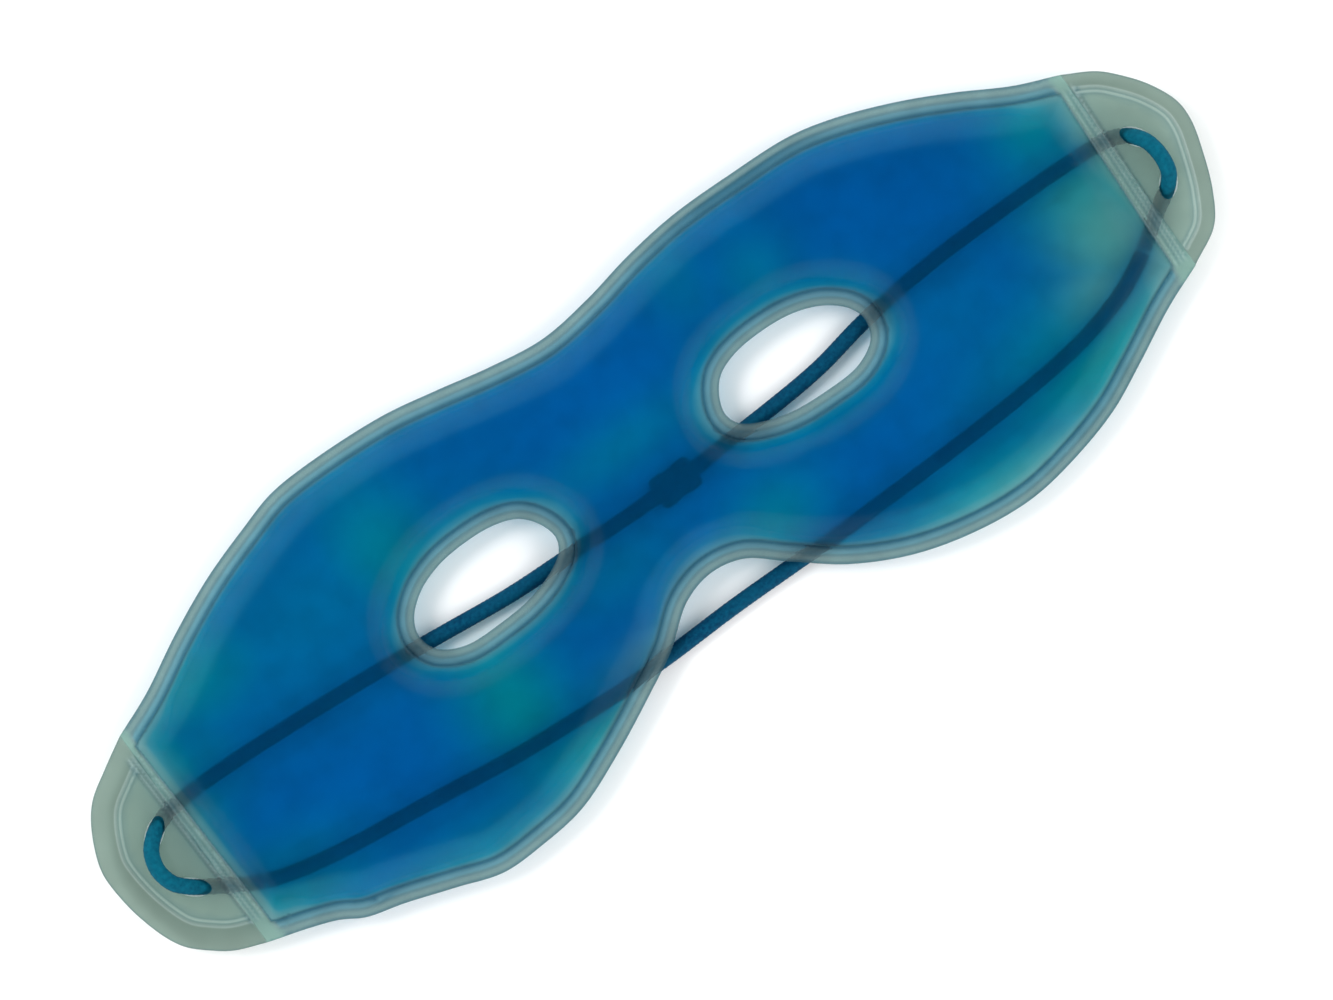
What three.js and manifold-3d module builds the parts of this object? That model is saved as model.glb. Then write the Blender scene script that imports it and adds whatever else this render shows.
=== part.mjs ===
// Cooling gel eye mask lying face up: two clear film sheets welded round a gel chamber with two
// eye openings, a punched end tab on each side, and one loop of round elastic cord.
// Millimetres, +X to the wearer's left-hand tab, +Y to the brow, +Z up, resting on Z = 0.
import * as THREE from 'three';
import { mergeVertices } from 'three/addons/utils/BufferGeometryUtils.js';
import Module from 'manifold-3d';

const wasm = await Module();
wasm.setup();

// Driving dimensions
const GAP = 0.3;            // clear space between neighbouring pieces
const FLOOR_CUT = -1;       // height at which every cut through the underside starts
const HEIGHT = 10.4;        // top of the filled chamber
const WELD_Z = 4.4;         // plane where the two films meet
const FILM = 0.4;           // thickness of one film sheet
const WELD = 0.8;           // thickness of two films fused together
const TOP_RUN = 7;          // how far in the chamber's top takes to level out
const BASE_RUN = 3.6;       // the same for its underside
const SEAM_STEP = 0.05;     // how far the chamber's underside reaches up inside its top
const CROWN_STEPS = 3;      // facets from the weld up to the level top
const END_X = 95.5;         // straight weld that closes the gel chamber
const FOLD_X = 97.7;        // line on which an end tab bends
const CORD_R = 1.4;
const CORD_Z = 1.55;        // height of the cord's centre where it lies under the mask
const CORD_SIDES = 8;
const CORD_STEP = 7;        // length of one facet of the cord
const CHANNEL_HALF = 1.8;   // half width of the channel that the cord presses into the back film
const CHANNEL_TOP = 3.4;
const SPLICE_LENGTH = 8;
const SPLICE_WIDTH = 6;
const SPLICE_HEIGHT = 3;
const SPLICE_Y = -5.4;      // on the upper run of the cord, under the bridge of the nose
const ARC_STEPS = 14;       // facets of the cord's arc over a tab
const SHEET_STEPS = 20;     // facets along the brow, and along the cheek, of the sheet's edge
const CHAMBER_STEPS = 16;   // the same for the gel chamber's edge
const EYE_STEPS = 24;       // facets round an eye opening
const PANEL_STEPS = 10;     // facets round the thin panel of a tab
const CHANNEL_STEPS = 26;   // facets along a channel
const SLEEVE_STEPS = 6;     // facets round each end of the oval sleeve
const PORT = { low: -84, high: -76, cover: 1.4 };   // filling port in the left rim
const EYE = { x: 32.2, y: -0.3, halfWidth: 14.3, halfHeight: 7.25, weld: 2.8 };

// Outer edge of the right half, from the middle of the brow to the middle of the nose notch
const BROW_EDGE = [[0, 27.4], [12, 29.1], [30, 32.4], [45, 32.8], [60, 30.5], [75, 25.3],
  [90, 17.2], [101, 12], [109, 5], [112.5, -4.5]];
const CHEEK_EDGE = [[112.5, -4.5], [109.5, -15], [102, -25], [90, -30], [75, -37.2], [62, -41.8],
  [50, -42.7], [38, -40.8], [24, -35], [12, -26.6], [0, -21.4]];
// Edge of the gel chamber inside the weld
const BROW_SEAL = [[0, 24.5], [12, 26.2], [30, 29.4], [45, 29.8], [60, 27.5], [75, 22.4],
  [86, 16.6], [END_X, 11.2]];
const CHEEK_SEAL = [[END_X, -25.2], [86, -28.6], [74, -34.2], [61, -38.7], [50, -39.7], [39, -37.9],
  [25, -32.2], [13, -23.8], [0, -18.4]];
// Inner edge of the fused band round an end tab
const TAB_PANEL = [[99.6, 7.4], [104.2, 3.8], [107.2, -4.5], [105.2, -14], [99.6, -20.6]];

// Centre line of the elastic cord, hand to hand: under the eyes, and across the nose notch
const UPPER_ROUTE = [[-100, -1, CORD_Z], [-96, -0.5, CORD_Z], [-88, -0.3, CORD_Z],
  [-75, -0.8, CORD_Z], [-60, -1.8, CORD_Z], [-46, -3, CORD_Z], [-30, -4.6, CORD_Z],
  [-19, -5, CORD_Z], [-8, -5.3, CORD_Z], [3, -5.4, CORD_Z], [19, -4.8, CORD_Z],
  [35, -3.7, CORD_Z], [46, -1.7, CORD_Z], [60, -0.2, CORD_Z], [75, 0.2, CORD_Z],
  [88, 0.1, CORD_Z], [96, -0.3, CORD_Z], [100, -1, CORD_Z]];
const LOWER_ROUTE = [[-100, -15.6, CORD_Z], [-96, -18, CORD_Z], [-90, -20.8, CORD_Z],
  [-80, -23.1, CORD_Z], [-60, -25.6, CORD_Z], [-45, -27.5, CORD_Z], [-30, -28.5, CORD_Z],
  [-15, -28.8, CORD_Z], [0, -28.4, CORD_Z], [20, -28.5, CORD_Z], [40, -28.3, CORD_Z],
  [60, -27.5, CORD_Z], [75, -25.8, CORD_Z], [85, -23, CORD_Z], [92, -19.4, CORD_Z],
  [96, -16.6, CORD_Z], [100, -14, CORD_Z]];
// The cord's arc over the front of each tab, from one punched hole to the other
const OVER_Z = WELD_Z + GAP / 2 + FILM + GAP + CORD_R;
const LEFT_ARC = [[-92, -0.3, CORD_Z], [-96, -0.5, CORD_Z], [-98.8, -0.9, CORD_Z + 0.1],
  [-101, -1.6, CORD_Z + 1.3], [-103, -2.9, CORD_Z + 3.5], [-104.7, -4.9, OVER_Z - 0.2],
  [-105.5, -8, OVER_Z], [-104.8, -11.1, OVER_Z - 0.2], [-103.1, -13.2, CORD_Z + 3.5],
  [-101, -14.9, CORD_Z + 1.3], [-98.8, -16.3, CORD_Z + 0.1], [-96, -18, CORD_Z],
  [-92, -20, CORD_Z]];
const RIGHT_ARC = [[92, 0, CORD_Z], [96, -0.3, CORD_Z], [98.8, -0.8, CORD_Z],
  [100.7, -1.7, CORD_Z + 0.9], [102, -3, CORD_Z + 3.1], [103, -5, OVER_Z - 0.3],
  [103.4, -8, OVER_Z], [103, -10.8, OVER_Z - 0.3], [102, -12.5, CORD_Z + 3.1],
  [100.7, -13.7, CORD_Z + 0.9], [98.8, -14.8, CORD_Z], [96, -16.6, CORD_Z], [92, -19.4, CORD_Z]];

const clearFilm = new THREE.MeshStandardMaterial({ color: 0xb9cfc4, roughness: 0.2, metalness: 0 });
const fusedFilm = new THREE.MeshStandardMaterial({ color: 0x93ada0, roughness: 0.25, metalness: 0 });
const blueGel = new THREE.MeshStandardMaterial({ color: 0x0062a3, roughness: 0.3, metalness: 0 });
const tealCord = new THREE.MeshStandardMaterial({ color: 0x026a86, roughness: 0.75, metalness: 0 });
const darkSleeve = new THREE.MeshStandardMaterial({ color: 0x17222c, roughness: 0.6, metalness: 0 });

// A closed three.js geometry as a manifold solid, and back
function solid(geometry) {
  const bare = geometry.clone();
  bare.deleteAttribute('normal');
  bare.deleteAttribute('uv');
  const welded = mergeVertices(bare, 1e-4);
  return new wasm.Manifold(new wasm.Mesh({
    numProp: 3,
    vertProperties: new Float32Array(welded.attributes.position.array),
    triVerts: new Uint32Array(welded.index.array),
  }));
}

function geometryOf(body) {
  const mesh = body.getMesh();
  const geometry = new THREE.BufferGeometry();
  geometry.setAttribute('position', new THREE.Float32BufferAttribute(mesh.vertProperties, 3));
  geometry.setIndex(Array.from(mesh.triVerts));
  geometry.computeVertexNormals();
  return geometry;
}

// A block from one corner to the other
function block(low, high) {
  const size = high.map((value, axis) => value - low[axis]);
  const geometry = new THREE.BoxGeometry(...size);
  geometry.translate(...low.map((value, axis) => value + size[axis] / 2));
  return solid(geometry);
}

const FAR = 300;
const keep = {
  right: (body, x) => body.subtract(block([-FAR, -FAR, -FAR], [x, FAR, FAR])),
  left: (body, x) => body.subtract(block([x, -FAR, -FAR], [FAR, FAR, FAR])),
  above: (body, z) => body.subtract(block([-FAR, -FAR, -FAR], [FAR, FAR, z])),
  below: (body, z) => body.subtract(block([-FAR, -FAR, z], [FAR, FAR, FAR])),
};

const vectors = (list) => list.map(([x, y]) => new THREE.Vector2(x, y));
const smooth = (list, pieces) => new THREE.SplineCurve(vectors(list)).getSpacedPoints(pieces);

// A whole closed outline from the two runs of its right half
function symmetricOutline(brow, cheek, pieces) {
  const right = [...smooth(brow, pieces), ...smooth(cheek, pieces)];
  const left = right.slice(1, -1).reverse().map((p) => new THREE.Vector2(-p.x, p.y));
  return [...right, ...left].filter((p, i, all) => p.distanceTo(all.at(i - 1)) > 0.01);
}

// The outline moved inwards by a distance; a negative distance moves it outwards
function inset(points, distance) {
  const inwards = THREE.ShapeUtils.isClockWise(points) ? -1 : 1;
  return points.map((point, i) => {
    const before = point.clone().sub(points.at(i - 1)).normalize();
    const after = points[(i + 1) % points.length].clone().sub(point).normalize();
    const normal = new THREE.Vector2(-before.y - after.y, before.x + after.x);
    const reach = 2 * distance * inwards / (1 + before.dot(after));
    return point.clone().addScaledVector(normal.multiplyScalar(0.5), reach);
  });
}

function eyeOutline(side, grow) {
  const curve = new THREE.EllipseCurve(side * EYE.x, EYE.y, EYE.halfWidth + grow,
    EYE.halfHeight + grow);
  return curve.getPoints(EYE_STEPS).slice(0, -1);
}

function shapeOf(outline, holes = []) {
  const shape = new THREE.Shape(outline);
  shape.holes = holes.map((hole) => new THREE.Path(hole));
  return shape;
}

function plate(shape, low, high) {
  const geometry = new THREE.ExtrudeGeometry(shape, { depth: high - low, bevelEnabled: false });
  geometry.translate(0, 0, low);
  return solid(geometry);
}

// A cushion whose edges round over, with its widest level at WELD_Z
function cushion(margin, rise, run) {
  const outline = inset(symmetricOutline(BROW_SEAL, CHEEK_SEAL, CHAMBER_STEPS), margin);
  const holes = [-1, 1].map((side) => eyeOutline(side, EYE.weld + margin));
  const core = 1;
  const geometry = new THREE.ExtrudeGeometry(shapeOf(outline, holes), {
    depth: core, bevelEnabled: true, bevelThickness: rise, bevelSize: run, bevelOffset: -run,
    bevelSegments: CROWN_STEPS,
  });
  geometry.translate(0, 0, WELD_Z - core);
  const upper = keep.above(solid(geometry), WELD_Z);
  geometry.translate(0, 0, core);
  return { upper, lower: keep.below(solid(geometry), WELD_Z + SEAM_STEP) };
}

const upperHalf = (margin) => cushion(margin, HEIGHT - WELD_Z - margin + GAP, TOP_RUN).upper;
const lowerHalf = (margin) => cushion(margin, WELD_Z - margin + GAP, BASE_RUN).lower;

const spliceAt = new THREE.Vector2(GAP / 2 + SPLICE_LENGTH / 2, SPLICE_Y);

// Slots along the cord's runs, wider and taller by a margin, that keep the chamber clear of it
function channels(margin) {
  const slots = [UPPER_ROUTE, LOWER_ROUTE].map((route) => {
    const line = smooth(route, CHANNEL_STEPS);
    const side = (distance) => line.map((point, i) => {
      const along = line[Math.min(i + 1, line.length - 1)].clone().sub(line[Math.max(i - 1, 0)]);
      return point.clone().add(new THREE.Vector2(-along.y, along.x).setLength(distance));
    });
    const half = CHANNEL_HALF + margin;
    return plate(shapeOf([...side(-half), ...side(half).reverse()]), FLOOR_CUT,
      CHANNEL_TOP + margin);
  });
  const reach = [SPLICE_LENGTH / 2 + GAP + margin, SPLICE_WIDTH / 2 + GAP + margin];
  const pocket = block([spliceAt.x - reach[0], spliceAt.y - reach[1], FLOOR_CUT],
    [spliceAt.x + reach[0], spliceAt.y + reach[1], CHANNEL_TOP + margin]);
  return slots[0].add(slots[1]).add(pocket);
}

// A round cord along a list of points, in so many straight facets
function cord(points, radius, steps) {
  const curve = new THREE.CatmullRomCurve3(points.map((p) => new THREE.Vector3(...p)), false,
    'centripetal');
  const circle = new THREE.EllipseCurve(0, 0, radius, radius).getPoints(CORD_SIDES);
  const section = new THREE.Shape(circle.slice(0, -1));
  return solid(new THREE.ExtrudeGeometry(section, { steps, extrudePath: curve }));
}

const mask = new THREE.Group();
const lying = new THREE.Group();
mask.add(lying);

function piece(name, body, material) {
  const mesh = new THREE.Mesh(geometryOf(body), material);
  mesh.name = name;
  lying.add(mesh);
}

// The two cord ends meet in an oval shrink sleeve under the bridge of the nose
function splice() {
  const round = SPLICE_HEIGHT / 2;
  const straight = SPLICE_WIDTH / 2 - round;
  const oval = new THREE.Shape();
  oval.absarc(straight, 0, round, -Math.PI / 2, Math.PI / 2);
  oval.absarc(-straight, 0, round, Math.PI / 2, 1.5 * Math.PI);
  const geometry = new THREE.ExtrudeGeometry(oval, {
    depth: SPLICE_LENGTH, bevelEnabled: false, curveSegments: SLEEVE_STEPS,
  });
  geometry.rotateY(Math.PI / 2);
  geometry.rotateX(Math.PI / 2);
  geometry.translate(GAP / 2, spliceAt.y, CORD_Z);
  return solid(geometry);
}

const RUN_STEPS = Math.ceil(2 * FOLD_X / CORD_STEP);
const upperCord = cord(UPPER_ROUTE, CORD_R, RUN_STEPS)
  .subtract(block([0, -FAR, 0], [spliceAt.x + SPLICE_LENGTH / 2 + GAP, FAR, HEIGHT]));
const lowerCord = cord(LOWER_ROUTE, CORD_R, RUN_STEPS);

// Flat pieces: the fused band round the chamber, the rings round the eyes, and the tabs
const sheetOutline = symmetricOutline(BROW_EDGE, CHEEK_EDGE, SHEET_STEPS);
const sealOutline = symmetricOutline(BROW_SEAL, CHEEK_SEAL, CHAMBER_STEPS);
const fused = plate(shapeOf(sheetOutline), WELD_Z - WELD / 2, WELD_Z + WELD / 2);
const chamberCut = plate(shapeOf(sealOutline), 0, HEIGHT);
const band = fused.subtract(chamberCut);

function eyeRing(side) {
  const shape = shapeOf(eyeOutline(side, EYE.weld), [eyeOutline(side, 0)]);
  return plate(shape, WELD_Z - WELD / 2, WELD_Z + WELD / 2);
}

function tabPanelOutline(side, margin) {
  const curve = smooth(TAB_PANEL, PANEL_STEPS).map((p) => new THREE.Vector2(side * p.x, p.y));
  return inset(curve, margin);
}

// The chamber's films and gel, whole, before the fold line divides them
const outerLower = lowerHalf(GAP).subtract(channels(0));
const innerLower = lowerHalf(GAP + FILM).subtract(channels(FILM));
const frontFilm = keep.above(upperHalf(GAP).subtract(upperHalf(GAP + FILM)), WELD_Z + GAP / 2);
const backFilm = keep.below(outerLower.subtract(innerLower), WELD_Z - GAP / 2);
const gelMargin = 2 * GAP + FILM;
const gelFill = upperHalf(gelMargin).add(lowerHalf(gelMargin + SEAM_STEP))
  .subtract(channels(FILM + GAP));

// Where gel was poured in: a short second weld across the inside of the left rim
const portSlot = (margin) => plate(shapeOf(inset(sheetOutline, PORT.cover + margin)), 0, HEIGHT)
  .intersect(block([PORT.low + margin, -FAR, 0], [PORT.high - margin, 0, HEIGHT]));
const portSeal = band.intersect(portSlot(GAP));

const SIDES = [
  { name: 'left', sign: -1, outward: keep.left, inward: keep.right, arc: LEFT_ARC },
  { name: 'right', sign: 1, outward: keep.right, inward: keep.left, arc: RIGHT_ARC },
];

for (const { name, sign, outward, inward, arc } of SIDES) {
  const half = (body) => outward(body, sign * GAP / 2);
  const toFold = (body) => inward(half(body), sign * (FOLD_X - GAP / 2));
  const tab = (body) => outward(body, sign * (FOLD_X + GAP / 2));

  piece(`${name}_front_film`, half(frontFilm), clearFilm);
  piece(`${name}_back_film`, half(backFilm), clearFilm);
  piece(`${name}_gel_fill`, half(gelFill), blueGel);
  piece(`${name}_rim_seam`, toFold(band.subtract(portSlot(0))), fusedFilm);
  piece(`${name}_eye_seam`, eyeRing(sign), fusedFilm);

  const panelHole = plate(shapeOf(tabPanelOutline(sign, 0)), 0, HEIGHT);
  const panel = shapeOf(tabPanelOutline(sign, GAP));
  const passage = cord(arc, CORD_R + GAP, ARC_STEPS);
  const front = plate(panel, WELD_Z + GAP / 2, WELD_Z + GAP / 2 + FILM);
  const back = plate(panel, WELD_Z - GAP / 2 - FILM, WELD_Z - GAP / 2);
  piece(`${name}_tab_seam`, tab(fused).subtract(panelHole), fusedFilm);
  piece(`${name}_tab_front_film`, front.subtract(passage), clearFilm);
  piece(`${name}_tab_back_film`, back.subtract(passage), clearFilm);

  piece(`${name}_cord_loop`, tab(cord(arc, CORD_R, ARC_STEPS)), tealCord);
  piece(`${name}_upper_cord`, toFold(upperCord), tealCord);
  piece(`${name}_lower_cord`, toFold(lowerCord), tealCord);
}

piece('fill_port_seal', portSeal, fusedFilm);
piece('cord_splice_sleeve', splice(), darkSleeve);

// The origin is under the middle of the sheet, so the eye line lies a little above it
const edge = new THREE.Box2().setFromPoints(sheetOutline);
lying.position.y = -(edge.min.y + edge.max.y) / 2;

export default mask;
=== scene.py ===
"""Looks for a cooling gel eye mask: clear welded films, translucent blue gel and a teal elastic cord.

Shapes are worked out in millimetres from the middle of the line between the two eye openings, and
turned into metres in the model's frame when a mesh is made.
"""

import math

import bpy
import numpy as np
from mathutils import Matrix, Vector, geometry, noise


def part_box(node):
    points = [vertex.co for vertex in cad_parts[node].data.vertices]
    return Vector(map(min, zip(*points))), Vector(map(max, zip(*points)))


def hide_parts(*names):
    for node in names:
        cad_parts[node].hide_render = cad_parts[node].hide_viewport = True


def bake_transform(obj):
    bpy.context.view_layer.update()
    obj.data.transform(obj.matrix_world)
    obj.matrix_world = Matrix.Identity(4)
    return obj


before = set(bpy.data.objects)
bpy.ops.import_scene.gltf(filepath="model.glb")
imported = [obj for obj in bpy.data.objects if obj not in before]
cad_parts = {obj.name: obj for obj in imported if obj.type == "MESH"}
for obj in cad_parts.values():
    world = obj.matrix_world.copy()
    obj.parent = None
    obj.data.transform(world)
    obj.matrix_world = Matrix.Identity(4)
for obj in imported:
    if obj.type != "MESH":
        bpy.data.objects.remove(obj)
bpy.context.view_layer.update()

MM = 0.001
SIGNS = {"left": -1, "right": 1}   # sign of X on each side
EYE_LOW, EYE_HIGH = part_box("left_eye_seam")
EYE_LINE = (EYE_LOW.y + EYE_HIGH.y) / 2 / MM + 0.3   # Y of the eye line in the model's frame
WELD_Z = (EYE_LOW.z / MM + EYE_HIGH.z / MM) / 2      # height between the two welded films
# X of the right tab's fold line; the left one's is the same with a minus
FOLD_X = (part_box("left_tab_seam")[1].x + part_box("left_rim_seam")[0].x) / -2 / MM
CORD_LOW, CORD_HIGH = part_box("left_upper_cord")
CORD_R = (CORD_HIGH.z - CORD_LOW.z) / 2 / MM
CORD_Z = CORD_LOW.z / MM + CORD_R                    # height of a cord's middle on the ground
# Middle of the sleeve on the cord's join, in the model's frame
SLEEVE = [(low + high) / 2 / MM for low, high in zip(*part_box("cord_splice_sleeve"))]

RIM = 3.0             # width of the fused band
FILM = 0.38           # thickness of one sheet
EYE_WELD = 2.8        # width of the fused ring round an eye opening

# Outer edge of the sheet between the two fold lines, brow run then cheek run, left to right
BROW_EDGE = [(-101, 13), (-97.7, 14.4), (-90, 17.6), (-80, 23), (-70, 27.6), (-60, 31), (-53, 33),
             (-45, 33.5), (-30, 32.8), (-20, 31), (-10, 28.9), (0, 27.6), (10, 28.7), (20, 30.7),
             (30, 31.9), (42, 31.9), (54, 31.3), (62, 29.4), (72, 25.6), (81, 21.2), (90, 16.2),
             (97.7, 13), (101, 11.4)]
CHEEK_EDGE = [(-101, -27.5), (-97.7, -28.7), (-91, -30.7), (-85.5, -32.7), (-81.5, -35),
              (-75, -36.8), (-66, -39.8), (-58, -42.4), (-50, -42.4), (-41, -41.3), (-31, -37.4),
              (-20, -32), (-13, -28.2), (-6, -23), (0, -21.4), (6, -22.6), (12, -27.4), (20, -33.7),
              (30, -38.8), (41, -41.8), (52, -42.8), (62, -41.4), (72, -38.6), (80, -34.8),
              (90, -29.7), (97.7, -26.6), (101, -25.2)]
# Line of the weld that closes the gel chamber at each end: its X at the top and at the bottom
END_WELD = {-1: ((-96.9, 14), (-95.2, -28)), 1: ((96.1, 14), (94.5, -28))}


def travelled(line):
    """Distance along a line of points at each of them."""
    return np.concatenate([[0], np.cumsum(np.linalg.norm(np.diff(line, axis=0), axis=1))])


def evenly(line, spacing):
    """Points about spacing apart along a line, ends included."""
    along = travelled(line)
    at = np.linspace(0, along[-1], max(2, round(along[-1] / spacing) + 1))
    return np.stack([np.interp(at, along, line[:, k]) for k in range(line.shape[1])], axis=1)


def between(u, start, end, first, last):
    """The value at u on the line from first at start to last at end."""
    return (end - u) / (end - start) * first + (u - start) / (end - start) * last


def spline(points, spacing):
    """Points about spacing apart on a smooth curve (centripetal Catmull-Rom) through others."""
    p = np.array(points, float)
    p = np.vstack([2 * p[0] - p[1], p, 2 * p[-1] - p[-2]])
    t = np.concatenate([[0], np.cumsum(np.linalg.norm(np.diff(p, axis=0), axis=1) ** 0.5)])
    found = []
    for i in range(1, len(p) - 2):
        u = np.linspace(t[i], t[i + 1], 24, endpoint=False)[:, None]
        a1, a2, a3 = (between(u, t[k], t[k + 1], p[k], p[k + 1]) for k in (i - 1, i, i + 1))
        b1 = between(u, t[i - 1], t[i + 1], a1, a2)
        b2 = between(u, t[i], t[i + 2], a2, a3)
        found.append(between(u, t[i], t[i + 1], b1, b2))
    return evenly(np.vstack([*found, p[-2:-1]]), spacing)


def closed_spline(points, spacing):
    """The same round a closed list of points, without repeating the first one."""
    lead = 3
    ring = [*points[-lead:], *points, *points[:lead + 1]]
    dense = spline(ring, spacing / 8)
    first, last = (np.argmin(np.linalg.norm(part - points[0], axis=1))
                   for part in (dense[:len(dense) // 2], dense[len(dense) // 2:]))
    return evenly(dense[first:len(dense) // 2 + last], spacing)[:-1]


def respaced(loop, spacing):
    """A closed loop's points at an even spacing that keeps its corners."""
    found = []
    for here, there in zip(loop, np.roll(loop, -1, axis=0)):
        steps = max(1, round(np.linalg.norm(there - here) / spacing))
        found += [here + (there - here) * k / steps for k in range(steps)]
    return np.array(found)


def left_of(along):
    """Unit vectors to the left of each direction."""
    side = np.stack([-along[:, 1], along[:, 0]], axis=1)
    return side / np.linalg.norm(side, axis=1, keepdims=True)


def normals(loop):
    """Unit normals of a closed loop, to the left of its direction."""
    return left_of(np.roll(loop, -1, axis=0) - np.roll(loop, 1, axis=0))


def open_normals(run):
    """Unit normals of an open run of points, to the left of its direction."""
    return left_of(np.gradient(run, axis=0))


def inside(points, loop):
    """Whether each point lies inside a closed loop."""
    x, y = points[:, :1], points[:, 1:]
    x0, y0 = loop[:, 0], loop[:, 1]
    x1, y1 = np.roll(x0, -1), np.roll(y0, -1)
    spans = (y0 > y) != (y1 > y)
    rise = np.where(y1 == y0, 1, y1 - y0)
    return (spans & (x < x0 + (y - y0) / rise * (x1 - x0))).sum(axis=1) % 2 == 1


BATCH = 2000          # points measured at a time, to save memory


def distance(points, line, closed=True):
    """How far each point is from a line through a list of points."""
    a = line if closed else line[:-1]
    d = (np.roll(line, -1, axis=0) if closed else line[1:]) - a
    best = np.full(len(points), np.inf)
    for start in range(0, len(points), BATCH):
        p = points[start:start + BATCH, None]
        t = np.clip(((p - a) * d).sum(-1) / (d * d).sum(-1), 0, 1)[..., None]
        best[start:start + BATCH] = np.linalg.norm(p - a - t * d, axis=-1).min(axis=1)
    return best


def signed(points, loop):
    """Distance from a closed loop, positive inside it."""
    return np.where(inside(points, loop), 1, -1) * distance(points, loop)


FOLD_GAP = 0.01       # gap between a film and its tab's fold line


def fold_x(side, y):
    """X of a film's end beside the fold line of a tab."""
    return side * (FOLD_X - FOLD_GAP) + 0 * y


def end_weld_x(side, y):
    """X of the weld that closes the gel chamber at one end."""
    (top_x, top_y), (low_x, low_y) = END_WELD[side]
    return top_x + (np.asarray(y) - top_y) / (low_y - top_y) * (low_x - top_x)


def crossing(run, limit, side):
    """The point where a run of points crosses x = limit(side, y)."""
    over = run[:, 0] - limit(side, run[:, 1])
    k = np.nonzero(np.diff(np.sign(over)))[0][0]
    share = over[k] / (over[k] - over[k + 1])
    return run[k] + (run[k + 1] - run[k]) * share


def between_ends(brow, cheek, limit):
    """A closed loop, turning left, from a brow run and a cheek run cut off at both ends."""
    def cut(run):
        keep = (run[:, 0] > limit(-1, run[:, 1])) & (run[:, 0] < limit(1, run[:, 1]))
        return np.vstack([crossing(run, limit, -1), run[keep], crossing(run, limit, 1)])
    return np.vstack([cut(cheek), cut(brow)[::-1]])


LOOP_STEP = 0.9       # spacing of an outline's points
brow, cheek = spline(BROW_EDGE, LOOP_STEP), spline(CHEEK_EDGE, LOOP_STEP)
SHEET = between_ends(brow, cheek, fold_x)
CHAMBER = between_ends(brow - RIM * open_normals(brow), cheek + RIM * open_normals(cheek),
                       end_weld_x)

# One eye opening, seen on the right: points round it from its inner corner over the top
EYE_POINTS = [(17.8, -1), (18.6, 2), (21, 5), (25, 6.6), (31, 7.1), (37, 6.5), (42, 4.6),
              (45.5, 1.5), (46.5, -1.5), (45.3, -4.8), (41, -7.2), (34, -7.6), (27, -7),
              (21.5, -5.2), (18.7, -3.3)]
EYES = {1: closed_spline(np.array(EYE_POINTS, float), LOOP_STEP)[::-1]}
EYES[-1] = (EYES[1] * (-1, 1))[::-1]
RINGS = {side: loop - EYE_WELD * normals(loop) for side, loop in EYES.items()}


def field(points):
    """Distance into the gel chamber from its nearest weld; negative in the fused film."""
    into = signed(points, CHAMBER)
    for ring in RINGS.values():
        into = np.minimum(into, -signed(points, ring))
    return into


# ------------------------------------------------------------------ cord routes, as in the CAD

UPPER_ROUTE = [(-100, -1), (-96, -0.5), (-88, -0.3), (-75, -0.8), (-60, -1.8), (-46, -3),
               (-30, -4.6), (-19, -5), (-8, -5.3), (3, -5.4), (19, -4.8), (35, -3.7), (46, -1.7),
               (60, -0.2), (75, 0.2), (88, 0.1), (96, -0.3), (100, -1)]
LOWER_ROUTE = [(-100, -15.6), (-96, -18), (-90, -20.8), (-80, -23.1), (-60, -25.6), (-45, -27.5),
               (-30, -28.5), (-15, -28.8), (0, -28.4), (20, -28.5), (40, -28.3), (60, -27.5),
               (75, -25.8), (85, -23), (92, -19.4), (96, -16.6), (100, -14)]
OVER_Z = WELD_Z + 0.85 + CORD_R    # height of the cord's middle where it crosses a tab
ARCS = {
    "left": [(-92, -0.3, 0), (-96, -0.5, 0), (-98.8, -0.9, 0.1), (-101, -1.6, 1.3),
             (-103, -2.9, 3.5), (-104.7, -4.9, OVER_Z - CORD_Z - 0.2),
             (-105.5, -8, OVER_Z - CORD_Z), (-104.8, -11.1, OVER_Z - CORD_Z - 0.2),
             (-103.1, -13.2, 3.5), (-101, -14.9, 1.3), (-98.8, -16.3, 0.1), (-96, -18, 0),
             (-92, -20, 0)],
    "right": [(92, 0, 0), (96, -0.3, 0), (98.8, -0.8, 0), (100.7, -1.7, 0.9), (102, -3, 3.1),
              (103, -5, OVER_Z - CORD_Z - 0.3), (103.4, -8, OVER_Z - CORD_Z),
              (103, -10.8, OVER_Z - CORD_Z - 0.3), (102, -12.5, 3.1), (100.7, -13.7, 0.9),
              (98.8, -14.8, 0), (96, -16.6, 0), (92, -19.4, 0)],
}
CORD_RING = 0.4       # distance between the rings of a cord's mesh
RUN_END = 92          # X where a run under the mask goes on as the loop through a tab
JOIN_GAP = 0.4        # gap between a run's end and the loop's


def run_path(route):
    """A run's path under the mask, cut off where the loops through the tabs go on."""
    path = spline([(x, y, CORD_Z) for x, y in route], CORD_RING)
    reach = RUN_END - JOIN_GAP
    cut = path[np.abs(path[:, 0]) < reach - CORD_RING / 2]
    ends = [[side * reach, np.interp(side * reach, path[:, 0], path[:, 1]), CORD_Z]
            for side in (-1, 1)]
    return np.vstack([ends[:1], cut, ends[1:]])


PATHS = {"upper": run_path(UPPER_ROUTE), "lower": run_path(LOWER_ROUTE)}
for side in SIGNS:
    PATHS[side] = spline([(x, y, CORD_Z + up) for x, y, up in ARCS[side]], CORD_RING)
ROUTES = {name: PATHS[name][:, :2] for name in PATHS}


# ------------------------------------------------------------------ heights of the films

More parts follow.
